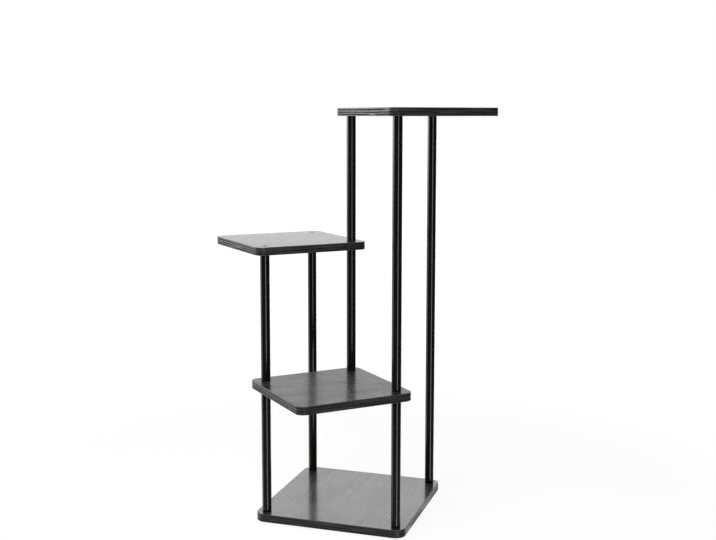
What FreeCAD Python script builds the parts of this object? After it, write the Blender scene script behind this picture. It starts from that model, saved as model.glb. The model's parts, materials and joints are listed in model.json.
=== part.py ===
"""Tall plant stand with four shelves on five round posts.

A square base board carries a post near each corner. Three smaller square boards are turned by
45 degrees and step up to the front, to the left and to the right of the stand's middle. Each
is screwed to two corner posts and to a centre post that starts on the lower board, and its
fourth corner reaches out past the base.
Every post is a stack of short steel tubes, screwed end to end with studs through the boards.

Frame: +Z is up, +X is to the right and +Y to the back. The origin is the centre of the
stand's outline on the floor. All sizes are in millimetres.
"""

import FreeCAD, Part
import math
import os
from collections import namedtuple

V = FreeCAD.Vector
UP = V(0, 0, 1)

# ---- Frame of the stand ----
post_spacing = 319.0  # between the axes of neighbouring corner posts
bay_height = 300.0  # clear height between one board and the next
base_edge_margin = 23.5  # post axis to the edge of the base board
shelf_edge_margin = 29.5  # post axis to each edge of a small board
base_corner_radius = 25.0
shelf_corner_radius = 20.0

# ---- Boards ----
board_thickness = 19.0
band_thickness = 1.0  # plastic strip glued round the board's edge
band_edge_round = 0.7
hole_clearance = 0.3  # between a thread and the hole that it passes through

# ---- Tubes and their threaded plugs ----
tube_diameter = 22.0
tube_wall = 1.0
tube_end_round = 0.4
plug_clearance = 0.02  # between a pressed-in plug and the tube
plug_spare_length = 4.0  # plug length past the end of the screw in it
plug_lead_in = 0.8  # chamfer at the mouth of the plug's thread

# ---- Threaded studs and bolts ----
thread_diameter = 8.0
thread_clearance = 0.05  # between a thread and the thread that it turns in
thread_engagement = 12.0  # length of screw inside each plug
thread_end_chamfer = 0.8
stud_socket_width = 4.0  # across flats
stud_socket_depth = 4.0
bolt_head_diameter = 16.0
bolt_head_rim = 0.4  # straight rim above the bolt's 45 degree cone
bolt_socket_width = 5.0  # across flats
bolt_socket_depth = 3.5

# ---- Levelling feet ----
foot_diameter = 22.0
foot_edge_round = 1.0
foot_grip_count = 12  # finger scallops round the rim
foot_grip_radius = 2.0
foot_grip_depth = 0.7
foot_flange_diameter = 13.0  # head of the stud, moulded into the foot
foot_flange_thickness = 1.6
foot_sole = 1.6  # plastic below the stud's head
foot_cover = 1.8  # plastic above the stud's head

# ---- Sizes that follow from those above ----
half_spacing = post_spacing / 2
foot_height = foot_sole + foot_flange_thickness + foot_cover
tube_radius = tube_diameter / 2
bore_radius = tube_radius - tube_wall
thread_radius = thread_diameter / 2
plug_length = thread_engagement + plug_spare_length
hole_radius = thread_radius + hole_clearance
bolt_cone_height = (bolt_head_diameter - thread_diameter) / 2
storey = board_thickness + bay_height
base_side = post_spacing + 2 * base_edge_margin
shelf_side = post_spacing / math.sqrt(2) + 2 * shelf_edge_margin
shelf_tip = (shelf_side / 2 - shelf_corner_radius) * math.sqrt(2) + shelf_corner_radius
front_reach = half_spacing + shelf_tip
back_reach = max(base_side / 2, shelf_tip)
stand_y = (front_reach - back_reach) / 2  # middle of the base board

# Levels of the boards, from the floor up, and the bay of tubes above each.
BASE, LOWER, MIDDLE, TOP = range(4)
BAY_NAMES = {BASE: "low", LOWER: "mid", MIDDLE: "high"}

# A post stands on its axis, from the board at level first to the board at level last.
Post = namedtuple("Post", "x y first last")
POSTS = {
    "front_left": Post(-half_spacing, stand_y - half_spacing, BASE, MIDDLE),
    "front_right": Post(half_spacing, stand_y - half_spacing, BASE, TOP),
    "back_right": Post(half_spacing, stand_y + half_spacing, BASE, TOP),
    "back_left": Post(-half_spacing, stand_y + half_spacing, BASE, MIDDLE),
    "centre": Post(0.0, stand_y, LOWER, TOP),
}

# A board lies about (x, y), turned by a number of degrees, and is screwed to its posts.
Board = namedtuple("Board", "level x y turn side corner_radius posts")


def shelf(level, x, y, *posts):
    """One of the three equal small boards. Its sides run at 45 degrees to the base's."""
    return Board(level, x, y, 45, shelf_side, shelf_corner_radius, posts)


BOARDS = {
    "base": Board(BASE, 0.0, stand_y, 0, base_side, base_corner_radius,
                  ("front_left", "front_right", "back_right", "back_left")),
    "lower": shelf(LOWER, 0.0, stand_y - half_spacing, "front_left", "front_right", "centre"),
    "middle": shelf(MIDDLE, -half_spacing, stand_y, "front_left", "back_left", "centre"),
    "top": shelf(TOP, half_spacing, stand_y, "front_right", "back_right", "centre"),
}


def underside(level):
    """Height of the underside of the board at a level."""
    return foot_height + level * storey


def topside(level):
    return underside(level) + board_thickness


def is_screwed_at(post, level):
    """True if the board at this level is screwed to the post."""
    return any(board.level == level and post in board.posts for board in BOARDS.values())


def cylinder(radius, length, base=V(0, 0, 0), direction=UP):
    return Part.makeCylinder(radius, length, base, direction)


def hexagon(width, depth, top):
    """Hexagonal prism of this width across flats, from height top down by depth."""
    corner = width / 2 / math.cos(math.pi / 6)
    turns = [k * math.pi / 3 for k in range(7)]
    points = [V(corner * math.cos(a), corner * math.sin(a), top - depth) for a in turns]
    return Part.Face(Part.makePolygon(points)).extrude(UP * depth)


def rounded_plate(side, radius, thickness):
    """Square plate with round corners, standing on z = 0 about the Z axis."""
    plate = Part.makeBox(side, side, thickness, V(-side / 2, -side / 2, 0))
    upright = [e for e in plate.Edges if abs(e.tangentAt(e.FirstParameter).z) > 0.5]
    return plate.makeFillet(radius, upright)


def edges_at(solid, heights):
    """Edges that lie flat at one of these heights."""
    def is_flat_at(box, z):
        return max(abs(box.ZMin - z), abs(box.ZMax - z)) < 1e-6

    return [e for e in solid.Edges if any(is_flat_at(e.BoundBox, z) for z in heights)]


def core_plate(board):
    """The board without its edge band, undrilled."""
    side = board.side - 2 * band_thickness
    return rounded_plate(side, board.corner_radius - band_thickness, board_thickness)


def edge_band(board):
    """Plastic strip round a board, with its outer edges eased."""
    plate = rounded_plate(board.side, board.corner_radius, board_thickness)
    widest_round = 0.9 * band_thickness  # the strip keeps a little of its flat top
    edge_round = min(band_edge_round, widest_round)
    eased = plate.makeFillet(edge_round, edges_at(plate, [0, board_thickness]))
    return laid(eased.cut(core_plate(board)), board)


def board_core(board):
    """Bare board, drilled for its posts and countersunk where a post ends on it."""
    core = laid(core_plate(board), board)
    for name in board.posts:
        post = POSTS[name]
        hole_base = V(post.x, post.y, underside(board.level))
        core = core.cut(cylinder(hole_radius, board_thickness, hole_base))
        if post.last == board.level:
            core = core.cut(placed(countersink(), post, topside(board.level)))
        if post.first == board.level != BASE:
            core = core.cut(placed(flipped(countersink()), post, underside(board.level)))
    return core


def countersink():
    """Space of a bolt's head, with its flush face on z = 0 and its cone below."""
    head_radius = bolt_head_diameter / 2
    cone_top = V(0, 0, -bolt_head_rim)
    cone = Part.makeCone(head_radius, thread_radius, bolt_cone_height, cone_top, -UP)
    return cylinder(head_radius, bolt_head_rim, cone_top).fuse(cone)


def laid(shape, board):
    """Turns a shape made about the origin as its board lies, and moves it there."""
    moved = shape.copy()
    moved.rotate(V(0, 0, 0), UP, board.turn)
    moved.translate(V(board.x, board.y, underside(board.level)))
    return moved


def placed(shape, post, z):
    """Moves a shape made about the Z axis onto a post, at height z."""
    moved = shape.copy()
    moved.translate(V(post.x, post.y, z))
    return moved


def flipped(shape):
    """The shape upside down about the origin."""
    turned = shape.copy()
    turned.rotate(V(0, 0, 0), V(1, 0, 0), 180)
    return turned


def tube(length):
    """Steel tube standing on z = 0, with its outer edges eased at both ends."""
    outer = cylinder(tube_radius, length)
    outer = outer.makeFillet(tube_end_round, edges_at(outer, [0, length]))
    return outer.cut(cylinder(bore_radius, length))


def tube_plug():
    """Threaded plug pressed into a tube's end, with its mouth on z = 0 and its body above."""
    bore = thread_radius + thread_clearance
    body = cylinder(bore_radius - plug_clearance, plug_length)
    mouth = Part.makeCone(bore + plug_lead_in, bore, plug_lead_in)
    return body.cut(cylinder(bore, plug_length)).cut(mouth)


def threaded_rod(length):
    """Screw thread's outline from z = 0 up, with both ends chamfered."""
    rod = cylinder(thread_radius, length)
    return rod.makeChamfer(thread_end_chamfer, edges_at(rod, [0, length]))


def stud(length):
    """Double-ended stud about z = 0, with a hexagonal socket in its upper end."""
    rod = threaded_rod(length)
    rod = rod.cut(hexagon(stud_socket_width, stud_socket_depth, length))
    rod.translate(V(0, 0, -length / 2))
    return rod


def cap_bolt():
    """Countersunk bolt with its head's flush face on z = 0 and its shank below."""
    shank_length = board_thickness + thread_engagement
    shank = threaded_rod(shank_length)
    shank.translate(V(0, 0, -shank_length))
    bolt = shank.fuse(countersink()).removeSplitter()
    return bolt.cut(hexagon(bolt_socket_width, bolt_socket_depth, 0))


def foot_stud():
    """Foot's steel stud: its flanged head is moulded into the foot, whose base is z = 0."""
    rod_length = foot_height - foot_sole + board_thickness + thread_engagement
    rod = cylinder(thread_radius, rod_length, V(0, 0, foot_sole))
    rod = rod.makeChamfer(thread_end_chamfer, edges_at(rod, [foot_sole + rod_length]))
    flange = cylinder(foot_flange_diameter / 2, foot_flange_thickness, V(0, 0, foot_sole))
    return rod.fuse(flange).removeSplitter()


def foot_pad():
    """Plastic foot with finger scallops round its rim, moulded round the stud's head."""
    radius = foot_diameter / 2
    pad = cylinder(radius, foot_height)
    pad = pad.makeFillet(foot_edge_round, edges_at(pad, [0]))
    for k in range(foot_grip_count):
        angle = 2 * math.pi * k / foot_grip_count
        reach = radius + foot_grip_radius - foot_grip_depth
        axis = V(reach * math.cos(angle), reach * math.sin(angle), 0)
        pad = pad.cut(cylinder(foot_grip_radius, foot_height, axis))
    return pad.cut(foot_stud())


def save(name, *solids):
    shape = solids[0] if len(solids) == 1 else Part.makeCompound(list(solids))
    shape.exportStep(f"parts/{name}.step")


def build_board(name, board):
    save(f"{name}_board", board_core(board))
    save(f"{name}_edge_band", edge_band(board))


def build_tubes(name, post):
    """The post's tubes, one to a bay, each with a plug in either end."""
    for level in range(post.first, post.last):
        start = topside(level) if is_screwed_at(name, level) else underside(level)
        end = underside(level + 1)
        node = f"{name}_tube_{BAY_NAMES[level]}"
        save(node, placed(tube(end - start), post, start))
        low_plug = placed(tube_plug(), post, start)
        high_plug = placed(flipped(tube_plug()), post, end)
        save(f"{node}_plugs", low_plug, high_plug)


def build_fasteners(name, post):
    """What joins the post's tubes to each other and to the boards."""
    for level in range(post.first + 1, post.last):
        if is_screwed_at(name, level):
            length = board_thickness + 2 * thread_engagement
            middle = (underside(level) + topside(level)) / 2
            save(f"{name}_board_stud", placed(stud(length), post, middle))
        else:
            joint = stud(2 * thread_engagement)
            save(f"{name}_tube_stud_{BAY_NAMES[level]}", placed(joint, post, underside(level)))
    save(f"{name}_top_bolt", placed(cap_bolt(), post, topside(post.last)))
    if post.first != BASE:
        save(f"{name}_bottom_bolt", placed(flipped(cap_bolt()), post, underside(post.first)))


def build_foot(name, post):
    save(f"{name}_foot_pad", placed(foot_pad(), post, 0))
    save(f"{name}_foot_stud", placed(foot_stud(), post, 0))


def main():
    os.makedirs("parts", exist_ok=True)
    for name, board in BOARDS.items():
        build_board(name, board)
    for name, post in POSTS.items():
        build_tubes(name, post)
        build_fasteners(name, post)
        if post.first == BASE:
            build_foot(name, post)


main()
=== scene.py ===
"""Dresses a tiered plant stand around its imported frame.

The boards, bolts, studs, plugs and feet of the frame keep their shapes, and each gets a finish. The
edge bands and the tubes are made again in the same places as finer meshes, with eased ends and a
butt seam. Lengths are in metres. The floor is z = 0, and the front of the stand faces -Y.
"""

import json
import math
from collections import namedtuple

import bpy
from bpy.props import FloatProperty, FloatVectorProperty, IntProperty, PointerProperty
from bpy.types import Operator, Panel, PropertyGroup
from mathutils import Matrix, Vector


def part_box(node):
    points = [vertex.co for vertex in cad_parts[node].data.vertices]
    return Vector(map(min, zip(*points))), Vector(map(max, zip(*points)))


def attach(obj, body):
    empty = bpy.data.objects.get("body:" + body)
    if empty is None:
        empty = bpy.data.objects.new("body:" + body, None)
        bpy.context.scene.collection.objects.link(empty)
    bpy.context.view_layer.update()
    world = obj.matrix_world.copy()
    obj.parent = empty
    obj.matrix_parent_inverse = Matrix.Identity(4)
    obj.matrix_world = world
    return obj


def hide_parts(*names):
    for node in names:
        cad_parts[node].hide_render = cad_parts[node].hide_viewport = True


bl_info = {
    "name": "Tiered plant stand",
    "version": (1, 0, 0),
    "blender": (4, 5, 0),
    "location": "3D View > Sidebar > Plant stand",
    "description": "Dresses a tiered plant stand of laminated boards and painted tubes",
    "category": "Object",
}

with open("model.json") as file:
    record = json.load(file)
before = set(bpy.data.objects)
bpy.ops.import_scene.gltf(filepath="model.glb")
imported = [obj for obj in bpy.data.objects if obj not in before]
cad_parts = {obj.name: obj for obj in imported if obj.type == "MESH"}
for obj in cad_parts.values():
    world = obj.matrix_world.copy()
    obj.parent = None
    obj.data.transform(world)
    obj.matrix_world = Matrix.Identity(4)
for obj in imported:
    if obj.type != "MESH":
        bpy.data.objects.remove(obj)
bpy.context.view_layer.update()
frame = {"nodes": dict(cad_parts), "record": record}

SLOT_OF = {part["node"]: part["material_slot"] for part in frame["record"]["subparts"]}
LEVELS = ("base", "lower", "middle", "top")
STAND_BODY = "frame"
PLANK_TURN = math.radians(45)  # the three upper boards are turned by this, and their grain too
# The side of each board that has its strip's seam, in degrees from +X. All face away from view.
SEAM_FACING = {"base": 90, "lower": 135, "middle": 45, "top": 135}
# The lines on a strip, all in shares of its height: where they run, how far they stray up and
# down, and how far from its middle a line starts to fade and has gone
STRIP_LINES = (0.20, 0.45, 0.75)
STRIP_WANDER = 0.22
STRIP_LINE_EDGE = (0.03, 0.12)
LAYERS = 40.0  # cells of a board's noise in each metre upwards, so that its two faces differ
GLASSY = 1.5  # index of refraction of every finish but the zinc
WHITE = (1.0, 1.0, 1.0, 1.0)

# A white card that only gloss sees. Its heading is counted from the way to the camera, and half its
# width and half its soft edge are in degrees too. It has its level straight below. Each change is
# (start, end, amount), where start and end are rises: sines of the angle above the horizon.
Card = namedtuple("Card", "heading half_width soft level changes")
CARDS = (
    Card(180, 68, 5, 0.0, (  # the wall behind the stand
        (0.0, 0.05, 0.98), (0.12, 0.20, -0.60), (0.27, 0.34, 1.50), (0.355, 0.40, -0.60))),
    Card(-111.5, 26.5, 4, 1.25, ((-0.10, 0.0, 3.20), (0.10, 0.20, -4.45))),  # low on the left
    Card(143, 13, 3, 1.60, ((-0.29, -0.24, -1.60),)),  # low, behind on the right
    Card(22, 6, 3, 4.50, ((0.03, 0.10, -4.50),)),  # a narrow window beside the camera
)
# The floor near the stand, as gloss sees it on all sides: a level and its changes
NEAR_FLOOR = (0.20, ((-0.36, -0.26, -0.20),))


# ---------------------------------------------------------------- settings

def distance(name, description, default):
    """A length that a user may change."""
    return FloatProperty(name=name, description=description, default=default, min=0.0,
                         subtype="DISTANCE", unit="LENGTH", precision=5)


def share(name, description, default):
    """A number from 0 to 1 that a user may change."""
    return FloatProperty(name=name, description=description, default=default, min=0.0, max=1.0,
                         subtype="FACTOR")


def strength(name, description, default):
    """A light level that a user may change."""
    return FloatProperty(name=name, description=description, default=default, min=0.0)


def angle(name, description, default):
    """An angle, given in degrees, that a user may change."""
    return FloatProperty(name=name, description=description, default=math.radians(default),
                         subtype="ANGLE", unit="ROTATION")


def colour(name, description, *default):
    """A linear colour that a user may change."""
    return FloatVectorProperty(name=name, description=description, default=default, size=3,
                               min=0.0, max=1.0, subtype="COLOR")


def place(name, description, *default):
    """A point in the frame that a user may move."""
    return FloatVectorProperty(name=name, description=description, default=default, size=3,
                               subtype="TRANSLATION", unit="LENGTH")


class LaminateSettings(PropertyGroup):
    """The black wood-grain laminate on the boards."""

    line_colour: colour("Grain lines", "Colour of the paler grain lines", 0.105, 0.105, 0.106)
    ground_colour: colour("Ground", "Colour between the grain lines", 0.005, 0.005, 0.0055)
    line_spacing: distance("Line spacing", "From one grain line to the next", 0.0063)
    line_length: distance("Line length", "How far a grain line runs", 0.360)
    fibre_spacing: distance("Fibre spacing", "Across the fine fibres", 0.0011)
    pore_spacing: distance("Pore spacing", "Across the short pores", 0.0016)
    pore_length: distance("Pore length", "Along the short pores", 0.022)
    pore_depth: distance("Pore depth", "How deep the grain is pressed", 0.00005)
    wander: distance("Wander", "How far a grain line strays sideways", 0.003)
    roughness: share("Roughness", "Roughness of the print under the clear coat", 0.45)
    coat_roughness: share("Coat roughness", "Roughness of the clear coat", 0.15)
    coat_on_lines: share("Coat on lines", "How much of the clear coat is left on the lines", 0.99)
    pore_dullness: share("Pore dullness", "How much of the clear coat a pore loses", 0.20)


class BandSettings(PropertyGroup):
    """The plastic strip round each board."""

    body_colour: colour("Strip", "Colour of the strip", 0.052, 0.052, 0.054)
    line_colour: colour("Lines", "Colour of the long lines on it", 0.004, 0.004, 0.0045)
    worn_colour: colour("Arris", "Colour of the eased arris", 0.085, 0.085, 0.088)
    thickness: distance("Thickness", "Thickness of the strip", 0.001)
    edge_round: distance("Edge round", "Radius along both outer edges", 0.0007)
    glue_line: distance("Glue line", "Easing where the strip meets the board's face", 0.00012)
    seam_gap: distance("Seam", "Gap where the two ends of the strip meet", 0.0002)
    base_corner: distance("Base corner", "Corner radius of the base board", 0.025)
    upper_corner: distance("Upper corner", "Corner radius of the other boards", 0.020)
    corner_steps: IntProperty(name="Corner steps", description="Faces round one corner",
                              default=24, min=4)
    press_depth: distance("Press depth", "How deep the lines and streaks are pressed", 0.00006)
    roughness: share("Roughness", "Roughness of the strip", 0.36)


class TubeSettings(PropertyGroup):
    """The black painted tubes."""

    paint: colour("Paint", "Colour of the paint", 0.0040, 0.0040, 0.0043)
    worn_paint: colour("Worn paint", "Colour on the eased ends", 0.05, 0.05, 0.052)
    wall: distance("Wall", "Thickness of the steel", 0.001)
    end_round: distance("End round", "Radius on the outer edge of both ends", 0.0004)
    bore_round: distance("Bore round", "Radius on the inner edge of both ends", 0.0001)
    round_steps: IntProperty(name="Round steps", description="Faces round a tube", default=96,
                             min=12)
    peel_size: distance("Peel size", "Size of the ripples in the paint", 0.0012)
    peel_depth: distance("Peel depth", "Height of the ripples in the paint", 0.000004)
    roughness: share("Roughness", "Roughness of the paint", 0.18)


class FittingSettings(PropertyGroup):
    """The bolts, studs, plugs and feet."""

    bolt_colour: colour("Bolts", "Colour of the blackened bolts", 0.030, 0.030, 0.033)
    bolt_shade: colour("Bolt stain", "Colour of the bolts' darker clouds", 0.012, 0.012, 0.013)
    bolt_roughness: share("Bolt roughness", "Roughness of the bolts", 0.30)
    zinc_colour: colour("Studs", "Colour of the zinc on the studs", 0.62, 0.63, 0.65)
    zinc_shade: colour("Dull zinc", "Colour of the zinc's duller clouds", 0.40, 0.41, 0.43)
    zinc_roughness: share("Zinc roughness", "Roughness of the zinc", 0.22)
    zinc_depth: distance("Zinc depth", "Height of the zinc's grain", 0.000008)
    plug_colour: colour("Plugs", "Colour of the nylon plugs", 0.020, 0.020, 0.020)
    plug_roughness: share("Plug roughness", "Roughness of the plugs", 0.42)
    foot_colour: colour("Feet", "Colour of the moulded feet", 0.020, 0.020, 0.021)
    foot_roughness: share("Foot roughness", "Roughness of the feet", 0.50)
    turning_pitch: distance("Turning marks", "From one turning mark to the next", 0.00035)
    turning_depth: distance("Turning depth", "How deep a turning mark is", 0.00001)
    mould_grain: distance("Mould grain", "Size of the texture on moulded pieces", 0.0007)
    mould_depth: distance("Mould depth", "Depth of the texture on moulded pieces", 0.00002)


class StudioSettings(PropertyGroup):
    """The floor, the light and the camera."""

    floor_colour: colour("Floor", "Colour of the floor", 0.80, 0.80, 0.80)
    # Painted shade: the floor's colour darkens from the first distance to the second, so that the
    # far floor lights the boards' undersides less
    far_floor_painted_shade: colour("Far floor", "Colour of the floor away from the stand", 0.3, 0.3, 0.3)
    painted_shade_from: distance("Dims from", "Where the floor starts to get its far colour", 0.5)
    painted_shade_to: distance("Dims to", "Where the floor has its far colour", 1.8)
    floor_size: distance("Floor size", "Side of the floor", 24.0)
    floor_glow: share("Floor glow", "How much of the floor's shade the camera doesn't see", 0.84)
    whitens_from: distance("Whitens from", "Where the camera starts to see less shade", 0.7)
    whitens_to: distance("Whitens to", "Where the camera sees no shade", 2.0)
    paper_white: strength("Paper white", "Brightness of the floor without shade", 1.09)
    soft_level: strength("Soft light", "Level of the light from all round", 0.27)
    front_level: strength("Front level", "What gloss sees where there is no card", 0.05)
    card_level: strength("Card level", "Brightness of all the cards that gloss sees", 1.0)
    key_level: strength("Key level", "Brightness of the wide lamp", 2.7)
    key_size: distance("Key size", "Side of the wide lamp", 3.2)
    key_place: place("Key place", "Where the wide lamp hangs", -1.1, -2.1, 2.4)
    key_target: place("Key target", "What the wide lamp faces", 0.0, 0.08, 0.4)
    camera_place: place("Camera", "Where the camera stands", 0.7975, -2.36925, 0.9596)
    camera_yaw: angle("Yaw", "Turn of the camera to its left from +Y", 18.127)
    camera_pitch: angle("Pitch", "How far the camera looks down", 6.4955)
    sensor: FloatProperty(name="Sensor", description="Sensor width in millimetres", default=36.0)
    lens: FloatProperty(name="Lens", description="Focal length in millimetres", default=53.907)
    shift_x: FloatProperty(name="Shift X", description="Sideways lens shift", default=0.01182)
    shift_y: FloatProperty(name="Shift Y", description="Upward lens shift", default=-0.04309)


# ---------------------------------------------------------------- shader maths

class Wire:
    """One output of a node. Arithmetic on it adds Math nodes."""

    def __init__(self, finish, socket):
        self.finish = finish
        self.socket = socket

    def __add__(self, other):
        return self.finish.maths("ADD", self, other)

    def __radd__(self, other):
        return self.finish.maths("ADD", other, self)

    def __sub__(self, other):
        return self.finish.maths("SUBTRACT", self, other)

    def __rsub__(self, other):
        return self.finish.maths("SUBTRACT", other, self)

    def __mul__(self, other):
        return self.finish.maths("MULTIPLY", self, other)

    def __rmul__(self, other):
        return self.finish.maths("MULTIPLY", other, self)

    def __truediv__(self, other):
        return self.finish.maths("DIVIDE", self, other)

    def __rtruediv__(self, other):
        return self.finish.maths("DIVIDE", other, self)

    def __abs__(self):
        return self.finish.maths("ABSOLUTE", self)


class Finish:
    """The node tree of a material, or of the world."""

    def __init__(self, owner):
        owner.use_nodes = True
        self.owner = owner
        self.tree = owner.node_tree
        self.tree.nodes.clear()

    def add(self, kind, settings=None, sockets=None, output=0):
        """Adds a node, with its settings first and then its sockets, and gives one output."""
        node = self.tree.nodes.new(kind)
        for name, value in (settings or {}).items():
            setattr(node, name, value)
        for name, value in (sockets or {}).items():
            usable = [socket for socket in node.inputs if socket.enabled]
            if isinstance(name, int):
                socket = usable[name]
            else:
                socket = next(socket for socket in usable if socket.name == name)
            if isinstance(value, Wire):
                self.tree.links.new(value.socket, socket)
            else:
                socket.default_value = value
        if not node.outputs:
            return None
        usable = [socket for socket in node.outputs if socket.enabled]
        if isinstance(output, int):
            return Wire(self, usable[output])
        return Wire(self, next(socket for socket in usable if socket.name == output))

    def maths(self, operation, *values):
        return self.add("ShaderNodeMath", {"operation": operation}, dict(enumerate(values)))

    def vectors(self, operation, *values):
        return self.add("ShaderNodeVectorMath", {"operation": operation}, dict(enumerate(values)))

    def step(self, value, low, high):
        """0 below low, 1 above high and smooth between them."""
        return self.add("ShaderNodeMapRange", {"interpolation_type": "SMOOTHSTEP"},
                        {"Value": value, "From Min": low, "From Max": high})

    def noise(self, where, scale, detail=2.0, roughness=0.5):
        """Noise from 0 to 1. scale is cells in each metre along the three axes."""
        stretched = self.vectors("MULTIPLY", where, scale)
        return self.add("ShaderNodeTexNoise", None, {
            "Vector": stretched, "Scale": 1.0, "Detail": detail, "Roughness": roughness})

    def mix(self, factor, first, second):
        """A colour between two colours."""
        return self.add("ShaderNodeMix", {"data_type": "RGBA"},
                        {"Factor": factor, "A": first, "B": second})

    def bump(self, height, depth):
        """A normal for a height from 0 to 1 that stands for depth metres."""
        return self.add("ShaderNodeBump", None, {
            "Strength": 1.0, "Distance": depth, "Height": height})

    def surface(self, sockets):
        """Ends a material in one shader."""
        shader = self.add("ShaderNodeBsdfPrincipled", None, sockets)
        self.add("ShaderNodeOutputMaterial", None, {"Surface": shader})
        return self.owner


def new_finish(name):
    return Finish(bpy.data.materials.new(name))


def solid(colour_value):
    """A colour setting as the four numbers that a colour socket takes."""
    return (*colour_value, 1.0)


def dress(piece, material):
    """Puts one finish on the whole of a piece."""
    if not piece.material_slots:
        piece.data.materials.append(material)
    for holder in piece.material_slots:
        holder.material = material


def nodes_in(slot):
    """The frame's pieces that take their finish from one slot of the record."""
    return [frame["nodes"][name] for name in sorted(SLOT_OF) if SLOT_OF[name] == slot]


# ---------------------------------------------------------------- finishes

def laminate(level, look):
    """Black laminate with a pressed wood grain. The grain runs along Y, or on a turned board
    along the side that faces the front right."""
    finish = new_finish(f"{level}_laminate")
    turn = 0.0 if level == "base" else PLANK_TURN
    here = finish.add("ShaderNodeTexCoord", output="Object")
    # x runs across the grain, y along it
    turned = finish.add("ShaderNodeMapping", None, {"Vector": here, "Rotation": (0.0, 0.0, turn)})
    stray = (finish.noise(turned, (9.0, 2.2, LAYERS)) - 0.5) * (2 * look.wander)
    sideways = finish.add("ShaderNodeCombineXYZ", None, {"X": stray})
    grain = finish.vectors("ADD", turned, sideways)

    # Each line is a crest of a wave across the board. The lines bunch, and fade in and out.
    along_lines = 1.0 / look.line_length
    bunches, breaks = 0.25 / look.line_spacing, 1.4 / look.line_spacing
    across = finish.add("ShaderNodeSeparateXYZ", None, {"Vector": grain}, "X")
    drift = finish.noise(grain, (bunches, along_lines, LAYERS), 1.0)
    turns = across * (1.0 / look.line_spacing) + 1.8 * drift
    wave = 0.5 + 0.5 * finish.maths("SINE", turns * (2 * math.pi))
    uneven = finish.noise(grain, (breaks, along_lines, LAYERS), 1.0)
    lines = finish.step(0.6 * wave + 0.8 * uneven, 0.55, 0.95)

    # Fine fibres and short dark pores lie over the lines, and broad clouds over all of them
    fibre_cells = (1.0 / look.fibre_spacing, 3.0 * along_lines, LAYERS)
    fibres = finish.step(finish.noise(grain, fibre_cells, 3.0, 0.6), 0.28, 0.68)
    pore_cells = (1.0 / look.pore_spacing, 1.0 / look.pore_length, LAYERS)
    pores = finish.step(finish.noise(grain, pore_cells, 1.0), 0.34, 0.50)
    cloud = finish.step(finish.noise(grain, (16.0, 6.0, LAYERS)), 0.30, 0.62)

    tone = (0.06 + 0.94 * lines) * (0.35 + 0.95 * fibres) * (0.45 + 0.55 * pores)
    tone = finish.step(tone * (0.28 + 0.90 * cloud), 0.0, 0.85)
    base = finish.mix(tone, solid(look.ground_colour), solid(look.line_colour))
    return finish.surface({
        "Base Color": base, "Roughness": look.roughness - 0.10 * tone, "IOR": GLASSY,
        "Specular IOR Level": 0.25,
        "Coat Weight": 1.0 - (1.0 - look.coat_on_lines) * tone - look.pore_dullness * (1.0 - pores),
        "Coat Roughness": look.coat_roughness,
        "Normal": finish.bump(0.4 * lines + 0.6 * pores, look.pore_depth)})


def edge_strip(level, look, thickness):
    """Black plastic strip with long pressed lines along it and a paler arris. The strip's own map
    gives the way along it and up it in metres."""
    finish = new_finish(f"{level}_edge_strip")
    strip = finish.add("ShaderNodeUVMap", {"uv_map": "strip"})
    along_up = finish.add("ShaderNodeSeparateXYZ", None, {"Vector": strip}, "Y")
    up = along_up / thickness
    wander = (finish.noise(strip, (5.0, 30.0, 1.0)) - 0.5) * STRIP_WANDER

    lines = 0.0
    for number, height in enumerate(STRIP_LINES):  # each fades in and out by itself
        shift = 3.1 * number + LEVELS.index(level)
        shifted = finish.vectors("ADD", strip, (shift, 0.0, 0.0))
        depth = finish.step(finish.noise(shifted, (7.0, 4.0, 1.0)), 0.30, 0.55)
        off = abs(up + wander - height)
        lines = depth * (1.0 - finish.step(off, *STRIP_LINE_EDGE)) + lines
    streaks = finish.noise(strip, (9.0, 900.0, 1.0), 3.0, 0.65)
    pores = finish.step(finish.noise(strip, (60.0, 2200.0, 1.0)), 0.30, 0.45)
    tone = (1.0 - lines) * (0.45 + 0.9 * streaks) * (0.7 + 0.3 * pores)
    tone = finish.step(tone, 0.0, 0.85)
    wear = finish.add("ShaderNodeAttribute", {"attribute_name": "wear"}, output="Fac")
    body = finish.mix(tone, solid(look.line_colour), solid(look.body_colour))
    base = finish.mix(wear * (0.35 + 0.5 * streaks), body, solid(look.worn_colour))
    return finish.surface({
        "Base Color": base, "Roughness": look.roughness + 0.50 * (1.0 - tone), "IOR": GLASSY,
        "Normal": finish.bump(tone, look.press_depth)})


def tube_paint(look):
    """Black powder coat, with a faint orange peel and paler worn ends."""
    finish = new_finish("tube_paint")
    here = finish.add("ShaderNodeTexCoord", output="Object")
    cells = 1.0 / look.peel_size
    peel = finish.noise(here, (cells, cells, 0.8 * cells), 2.0, 0.55)
    cloud = finish.noise(here, (30.0, 30.0, 9.0), 3.0, 0.6)
    specks = finish.step(finish.noise(here, (2600.0, 2600.0, 2600.0), 0.0), 0.70, 0.78)
    wear = finish.add("ShaderNodeAttribute", {"attribute_name": "wear"}, output="Fac")
    scuff = wear * finish.step(finish.noise(here, (260.0, 260.0, 700.0), 3.0, 0.7), 0.35, 0.65)
    mask = 0.06 * cloud + 0.10 * specks + 0.9 * scuff
    base = finish.mix(mask, solid(look.paint), solid(look.worn_paint))
    rough = look.roughness - 0.05 + 0.10 * cloud + 0.10 * scuff
    return finish.surface({
        "Base Color": base, "Roughness": rough, "IOR": GLASSY,
        "Normal": finish.bump(peel, look.peel_depth)})


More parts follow.
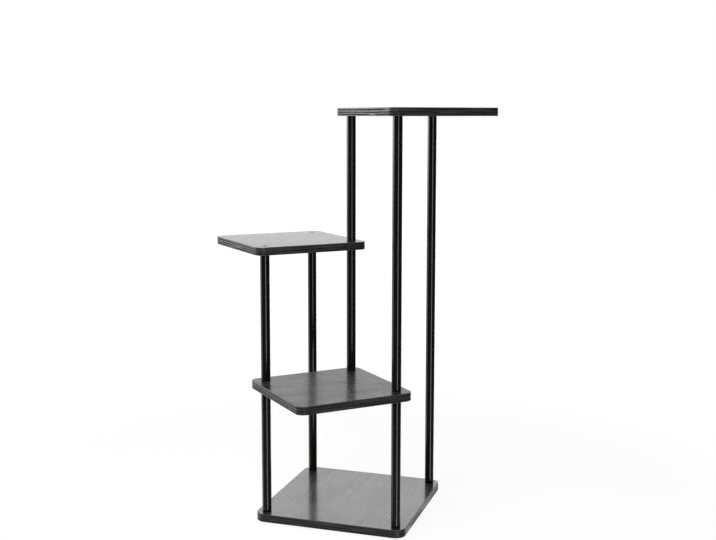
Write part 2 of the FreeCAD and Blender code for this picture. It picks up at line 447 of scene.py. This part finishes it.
def blackened_steel(post, look, axis):
    """Blackened bolt, with turning marks round its own axis."""
    finish = new_finish(f"{post}_bolt_black")
    here = finish.add("ShaderNodeTexCoord", output="Object")
    offset = finish.vectors("SUBTRACT", here, (axis[0], axis[1], 0.0))
    flat = finish.vectors("MULTIPLY", offset, (1.0, 1.0, 0.0))
    radius = finish.add("ShaderNodeVectorMath", {"operation": "LENGTH"}, {0: flat}, "Value")
    marks = 0.5 + 0.5 * finish.maths("SINE", radius * (2 * math.pi / look.turning_pitch))
    stain = finish.noise(here, (420.0, 420.0, 420.0), 3.0, 0.6)
    base = finish.mix(0.25 + 0.5 * stain, solid(look.bolt_shade), solid(look.bolt_colour))
    return finish.surface({
        "Base Color": base, "Metallic": 0.35, "Roughness": look.bolt_roughness + 0.22 * stain,
        "IOR": GLASSY, "Normal": finish.bump(0.7 * marks + 0.3 * stain, look.turning_depth)})


def zinc_plate(look):
    """Bright zinc plate, slightly clouded."""
    finish = new_finish("zinc_plate")
    here = finish.add("ShaderNodeTexCoord", output="Object")
    cloud = finish.noise(here, (160.0, 160.0, 160.0), 3.0, 0.6)
    fine = finish.noise(here, (2400.0, 2400.0, 900.0), 2.0)
    base = finish.mix(0.2 + 0.6 * cloud, solid(look.zinc_shade), solid(look.zinc_colour))
    return finish.surface({
        "Base Color": base, "Metallic": 1.0, "Roughness": look.zinc_roughness + 0.22 * cloud,
        "Normal": finish.bump(fine, look.zinc_depth)})


def moulded_plastic(name, look, body, roughness):
    """Moulded plastic with a fine spark-eroded texture."""
    finish = new_finish(name)
    here = finish.add("ShaderNodeTexCoord", output="Object")
    cells = 1.0 / look.mould_grain
    texture = finish.noise(here, (cells, cells, cells), 3.0, 0.6)
    cloud = finish.noise(here, (90.0, 90.0, 90.0))
    paler = tuple(min(1.0, 2.2 * channel + 0.01) for channel in body)
    base = finish.mix(0.5 * cloud * texture, solid(body), solid(paler))
    return finish.surface({
        "Base Color": base, "Roughness": roughness + 0.15 * texture, "IOR": GLASSY,
        "Normal": finish.bump(texture, look.mould_depth)})


# ---------------------------------------------------------------- swept meshes

# One point of a wall's section: how far out and up it is, where its face looks, and its wear
Bend = namedtuple("Bend", "out up face_out face_up wear")
# One upright slice of a sweep: where it stands, which way is out, and how far along it is
Station = namedtuple("Station", "x y z out_x out_y along")


def eased_corner(out, up, radius, start, steps=4):
    """A quarter turn of a section, most worn in its middle. start is in degrees from outwards."""
    points = []
    for number in range(steps + 1):
        done = number / steps
        turned = math.radians(start + 90 * done)
        face_out, face_up = math.cos(turned), math.sin(turned)
        points.append(Bend(out + radius * face_out, up + radius * face_up, face_out, face_up,
                           math.sin(math.pi * done)))
    return points


def wall_section(inner, outer, height, outer_round, inner_round):
    """The closed section of a wall, as runs: up its outside and down its inside, all eased."""
    corners = [
        eased_corner(outer - outer_round, height - outer_round, outer_round, 0),
        eased_corner(inner + inner_round, height - inner_round, inner_round, 90),
        eased_corner(inner + inner_round, inner_round, inner_round, 180),
        eased_corner(outer - outer_round, outer_round, outer_round, 270),
    ]
    runs = []
    for corner, following in zip(corners, corners[1:] + corners[:1]):
        runs.append(corner)
        runs.append([corner[-1], following[0]])
    return runs


def sweep(name, stations, section, closed):
    """Carries a closed section past the stations, and caps the ends if the path is open.

    Where the path is closed, the last station repeats the first.
    """
    ring = [bend for run in section for bend in run[:-1]]
    rings = len(stations) - 1 if closed else len(stations)
    vertices = [(s.x + s.out_x * bend.out, s.y + s.out_y * bend.out, s.z + bend.up)
                for s in stations[:rings] for bend in ring]
    faces, normals, strip = [], [], []
    for number in range(len(stations) - 1):
        corner = 0
        first, second = number * len(ring), (number + 1) % rings * len(ring)
        for run in section:
            for bend, after in zip(run, run[1:]):
                following = (corner + 1) % len(ring)
                faces.append((first + corner, second + corner, second + following,
                              first + following))
                for step, point in ((0, bend), (1, bend), (1, after), (0, after)):
                    slice_here = stations[number + step]
                    normals.append((slice_here.out_x * point.face_out,
                                    slice_here.out_y * point.face_out, point.face_up))
                    strip.append((slice_here.along, point.up))
                corner += 1
    if not closed:
        for end, order, sign in ((0, 1, -1), (len(stations) - 1, -1, 1)):
            s = stations[end]
            faces.append([end * len(ring) + k for k in range(len(ring))][::order])
            normals += [(-sign * s.out_y, sign * s.out_x, 0.0)] * len(ring)
            strip += [(s.along, bend.up) for bend in ring[::order]]
    mesh = bpy.data.meshes.new(name)
    mesh.from_pydata(vertices, [], faces, shade_flat=False)
    mesh.normals_split_custom_set(normals)
    layer = mesh.uv_layers.new(name="strip")
    for corner_data, point in zip(layer.data, strip):
        corner_data.uv = point
    wear = mesh.attributes.new("wear", "FLOAT", "POINT")
    wear.data.foreach_set("value", [bend.wear for _ in range(rings) for bend in ring])
    if mesh.validate():
        raise RuntimeError(f"the mesh of {name} was not sound")
    piece = bpy.data.objects.new(name, mesh)
    bpy.context.scene.collection.objects.link(piece)
    return piece


def round_square(centre, z, side, radius, turn, seam_gap, steps):
    """Stations anticlockwise round a square with round corners, between two ends that nearly
    meet. turn is in degrees, and the ends meet in the middle of the side that faces that way."""
    stations, travelled = [], 0.0

    def stand(x, y, heading):
        nonlocal travelled
        if stations:
            travelled += math.dist((x, y), (stations[-1].x, stations[-1].y))
        stations.append(Station(x, y, z, math.cos(heading), math.sin(heading), travelled))

    def on_seam(sign):
        heading = math.radians(turn)
        out = (math.cos(heading), math.sin(heading))
        stand(centre[0] + side / 2 * out[0] - sign * seam_gap / 2 * out[1],
              centre[1] + side / 2 * out[1] + sign * seam_gap / 2 * out[0], heading)

    on_seam(1)
    for quarter in range(4):
        start = math.radians(turn + 90 * quarter)
        reach = (side / 2 - radius) * math.sqrt(2)
        corner_x = centre[0] + reach * math.cos(start + math.pi / 4)
        corner_y = centre[1] + reach * math.sin(start + math.pi / 4)
        for number in range(steps + 1):
            heading = start + math.pi / 2 * number / steps
            stand(corner_x + radius * math.cos(heading), corner_y + radius * math.sin(heading),
                  heading)
    on_seam(-1)
    return stations


def full_turn(centre, z, radius, steps):
    """Stations right round an upright axis."""
    return [Station(centre[0], centre[1], z, math.cos(2 * math.pi * number / steps),
                    math.sin(2 * math.pi * number / steps), 2 * math.pi * radius * number / steps)
            for number in range(steps + 1)]


def stand_for(piece, node, material):
    """Puts a finer piece in the place of one of the frame's."""
    dress(piece, material)
    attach(piece, STAND_BODY)
    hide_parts(node)


# ---------------------------------------------------------------- operators

class STAND_OT_boards(Operator):
    """Gives each board its own stretch of black wood-grain laminate"""

    bl_idname = "plant_stand.boards"
    bl_label = "Laminate the boards"

    def execute(self, context):
        for level in LEVELS:
            dress(frame["nodes"][f"{level}_board"], laminate(level, context.scene.stand_laminate))
        return {"FINISHED"}


class STAND_OT_edge_bands(Operator):
    """Wraps a plastic strip round each board, with its two ends butted at the back"""

    bl_idname = "plant_stand.edge_bands"
    bl_label = "Wrap the edge bands"

    def execute(self, context):
        look = context.scene.stand_band
        for level in LEVELS:
            node = f"{level}_edge_band"
            low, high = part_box(node)
            centre, reach = (low + high) / 2, (high.x - low.x) / 2
            radius, side = look.base_corner, 2 * reach
            if level != "base":  # a turned board reaches as far as its round corners
                radius = look.upper_corner
                side = 2 * ((reach - radius) / math.sqrt(2) + radius)
            thickness = high.z - low.z
            path = round_square(centre, low.z, side, radius, SEAM_FACING[level], look.seam_gap,
                                look.corner_steps)
            section = wall_section(-look.thickness, 0.0, thickness, look.edge_round,
                                   look.glue_line)
            strip = sweep(f"{level}_edging", path, section, closed=False)
            stand_for(strip, node, edge_strip(level, look, thickness))
        return {"FINISHED"}


class STAND_OT_tubes(Operator):
    """Makes the painted tubes of the posts, with their bores and eased ends"""

    bl_idname = "plant_stand.tubes"
    bl_label = "Make the tubes"

    def execute(self, context):
        look = context.scene.stand_tubes
        paint = tube_paint(look)
        for node in sorted(name for name in SLOT_OF if SLOT_OF[name] == "tube_paint"):
            low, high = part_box(node)
            radius = (high.x - low.x) / 2
            path = full_turn((low + high) / 2, low.z, radius, look.round_steps)
            section = wall_section(radius - look.wall, radius, high.z - low.z, look.end_round,
                                   look.bore_round)
            tube = sweep(node.replace("_tube_", "_painted_tube_"), path, section, closed=True)
            stand_for(tube, node, paint)
        return {"FINISHED"}


class STAND_OT_fittings(Operator):
    """Finishes the bolts, the studs and the plugs in the tubes"""

    bl_idname = "plant_stand.fittings"
    bl_label = "Finish the fittings"

    def execute(self, context):
        look = context.scene.stand_fittings
        for bolt in nodes_in("black_bolt"):
            low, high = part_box(bolt.name)
            dress(bolt, blackened_steel(bolt.name, look, (low + high) / 2))
        zinc = zinc_plate(look)
        for stud in nodes_in("zinc_steel"):
            dress(stud, zinc)
        nylon = moulded_plastic("plug_nylon", look, look.plug_colour, look.plug_roughness)
        for plug in nodes_in("plug_nylon"):
            dress(plug, nylon)
        return {"FINISHED"}


class STAND_OT_feet(Operator):
    """Finishes the moulded pads of the levelling feet"""

    bl_idname = "plant_stand.feet"
    bl_label = "Finish the feet"

    def execute(self, context):
        look = context.scene.stand_fittings
        plastic = moulded_plastic("foot_plastic", look, look.foot_colour, look.foot_roughness)
        for pad in nodes_in("foot_plastic"):
            dress(pad, plastic)
        return {"FINISHED"}


class STAND_OT_stage(Operator):
    """Sets the camera, the floor, the world and the lamp"""

    bl_idname = "plant_stand.stage"
    bl_label = "Set the stage"

    def execute(self, context):
        look = context.scene.stand_studio
        set_camera(context.scene, look)
        lay_floor(context.scene, look)
        light_world(context.scene, look)
        hang_lamp(context.scene, look)
        context.scene.view_settings.view_transform = "Standard"
        return {"FINISHED"}


# ---------------------------------------------------------------- stage

def set_camera(scene, look):
    """Stands the camera where the photograph was taken from."""
    camera = bpy.data.objects.new("camera", bpy.data.cameras.new("camera"))
    camera.location = look.camera_place
    camera.rotation_euler = (math.pi / 2 - look.camera_pitch, 0.0, look.camera_yaw)
    camera.data.sensor_fit = "HORIZONTAL"
    camera.data.sensor_width = look.sensor
    camera.data.lens = look.lens
    camera.data.shift_x = look.shift_x
    camera.data.shift_y = look.shift_y
    scene.collection.objects.link(camera)
    scene.camera = camera


def lay_floor(scene, look):
    """A pale floor that the camera sees as paper white, with the stand's own soft shadow. Its
    colour is darkened far out, which is painted shade: there it lights the undersides of the boards
    less."""
    half = look.floor_size / 2
    mesh = bpy.data.meshes.new("floor")
    mesh.from_pydata([(-half, -half, 0), (half, -half, 0), (half, half, 0), (-half, half, 0)],
                     [], [(0, 1, 2, 3)])
    floor = bpy.data.objects.new("floor", mesh)
    floor.visible_glossy = False  # gloss sees the world's cards instead
    scene.collection.objects.link(floor)
    finish = new_finish("floor_paper")
    seen = finish.add("ShaderNodeLightPath", output="Is Camera Ray")
    here = finish.add("ShaderNodeTexCoord", output="Object")
    away = finish.add("ShaderNodeVectorMath", {"operation": "LENGTH"}, {0: here}, "Value")
    whitened = finish.step(away, look.whitens_from, look.whitens_to)
    glow_seen = look.floor_glow + (1.0 - look.floor_glow) * whitened
    # The floor's colour darkens with distance from the stand: painted shade, not a real change of
    # colour
    shade = finish.mix(finish.step(away, look.painted_shade_from, look.painted_shade_to), solid(look.floor_colour),
                       solid(look.far_floor_painted_shade))
    paper = finish.add("ShaderNodeBsdfDiffuse", None, {"Color": shade})
    glow = finish.add("ShaderNodeEmission", None, {"Color": WHITE, "Strength": look.paper_white})
    mixed = finish.add("ShaderNodeMixShader", None, {0: seen * glow_seen, 1: paper, 2: glow})
    finish.add("ShaderNodeOutputMaterial", None, {"Surface": mixed})
    dress(floor, finish.owner)


def climb(finish, rise, level, changes):
    """A level that changes as a direction rises from straight down."""
    for start, end, amount in changes:
        level = amount * finish.step(rise, start, end) + level
    return level


def facing(finish, level_way, card, camera_yaw):
    """1 where a level direction meets a card, and 0 past its soft edges. Headings turn from -Y
    towards +X."""
    heading = camera_yaw + math.radians(card.heading)
    middle = (math.sin(heading), -math.cos(heading), 0.0)
    near = finish.add("ShaderNodeVectorMath", {"operation": "DOT_PRODUCT"},
                      {0: level_way, 1: middle}, "Value")
    outer = math.radians(card.half_width + card.soft)
    inner = math.radians(card.half_width - card.soft)
    return finish.step(near, math.cos(outer), math.cos(inner))


def light_world(scene, look):
    """White all round for the camera, and an even soft light for what isn't glossy. Gloss sees a
    dim room, with the cards and a little of the near floor."""
    world = bpy.data.worlds.new("studio")
    world.cycles.sampling_method = "NONE"
    scene.world = world
    finish = Finish(world)
    looking = finish.add("ShaderNodeTexCoord", output="Generated")
    flat = finish.vectors("MULTIPLY", looking, (1.0, 1.0, 0.0))
    level_way = finish.vectors("NORMALIZE", flat)
    rise = finish.add("ShaderNodeSeparateXYZ", None, {"Vector": looking}, "Z")

    bright = climb(finish, rise, *NEAR_FLOOR)
    for card in CARDS:
        met = facing(finish, level_way, card, look.camera_yaw)
        bright = bright + met * climb(finish, rise, card.level, card.changes)
    gloss = look.front_level + look.card_level * bright
    camera = finish.add("ShaderNodeLightPath", output="Is Camera Ray")
    glossy = finish.add("ShaderNodeLightPath", output="Is Glossy Ray")
    other = look.soft_level + (gloss - look.soft_level) * glossy
    strength_now = other + (1.0 - other) * camera
    glow = finish.add("ShaderNodeBackground", None, {"Color": WHITE, "Strength": strength_now})
    finish.add("ShaderNodeOutputWorld", None, {"Surface": glow})


def hang_lamp(scene, look):
    """One wide square lamp, high on the left, of one brightness whatever its size. Gloss doesn't
    see it, because it has the cards."""
    data = bpy.data.lights.new("key_lamp", "AREA")
    data.shape = "SQUARE"
    data.size = look.key_size
    data.energy = look.key_level * math.pi * look.key_size ** 2
    lamp = bpy.data.objects.new("key_lamp", data)
    lamp.visible_glossy = False
    lamp.location = look.key_place
    x, y, z = (end - start for end, start in zip(look.key_target, look.key_place))
    lamp.rotation_euler = (math.pi / 2 + math.atan2(z, math.hypot(x, y)), 0.0, math.atan2(-x, y))
    scene.collection.objects.link(lamp)


# ---------------------------------------------------------------- panel

class STAND_PT_panel(Panel):
    """Lists what dresses the plant stand."""

    bl_label = "Plant stand"
    bl_idname = "STAND_PT_panel"
    bl_space_type = "VIEW_3D"
    bl_region_type = "UI"
    bl_category = "Plant stand"

    def draw(self, context):
        for operator in OPERATORS:
            self.layout.operator(operator.bl_idname)
        for attribute, group in SETTINGS.items():
            box = self.layout.box()
            for name in group.__annotations__:
                box.prop(getattr(context.scene, attribute), name)


OPERATORS = (STAND_OT_boards, STAND_OT_edge_bands, STAND_OT_tubes, STAND_OT_fittings,
             STAND_OT_feet, STAND_OT_stage)
SETTINGS = {
    "stand_laminate": LaminateSettings,
    "stand_band": BandSettings,
    "stand_tubes": TubeSettings,
    "stand_fittings": FittingSettings,
    "stand_studio": StudioSettings,
}


def register():
    for group in (*SETTINGS.values(), *OPERATORS, STAND_PT_panel):
        bpy.utils.register_class(group)
    for attribute, group in SETTINGS.items():
        setattr(bpy.types.Scene, attribute, PointerProperty(type=group))


def unregister():
    for attribute in SETTINGS:
        delattr(bpy.types.Scene, attribute)
    for group in reversed((*SETTINGS.values(), *OPERATORS, STAND_PT_panel)):
        bpy.utils.unregister_class(group)


def main():
    """Dresses the whole stand."""
    register()
    for operator in OPERATORS:
        group, name = operator.bl_idname.split(".")
        getattr(getattr(bpy.ops, group), name)()


if __name__ == "__main__":
    main()
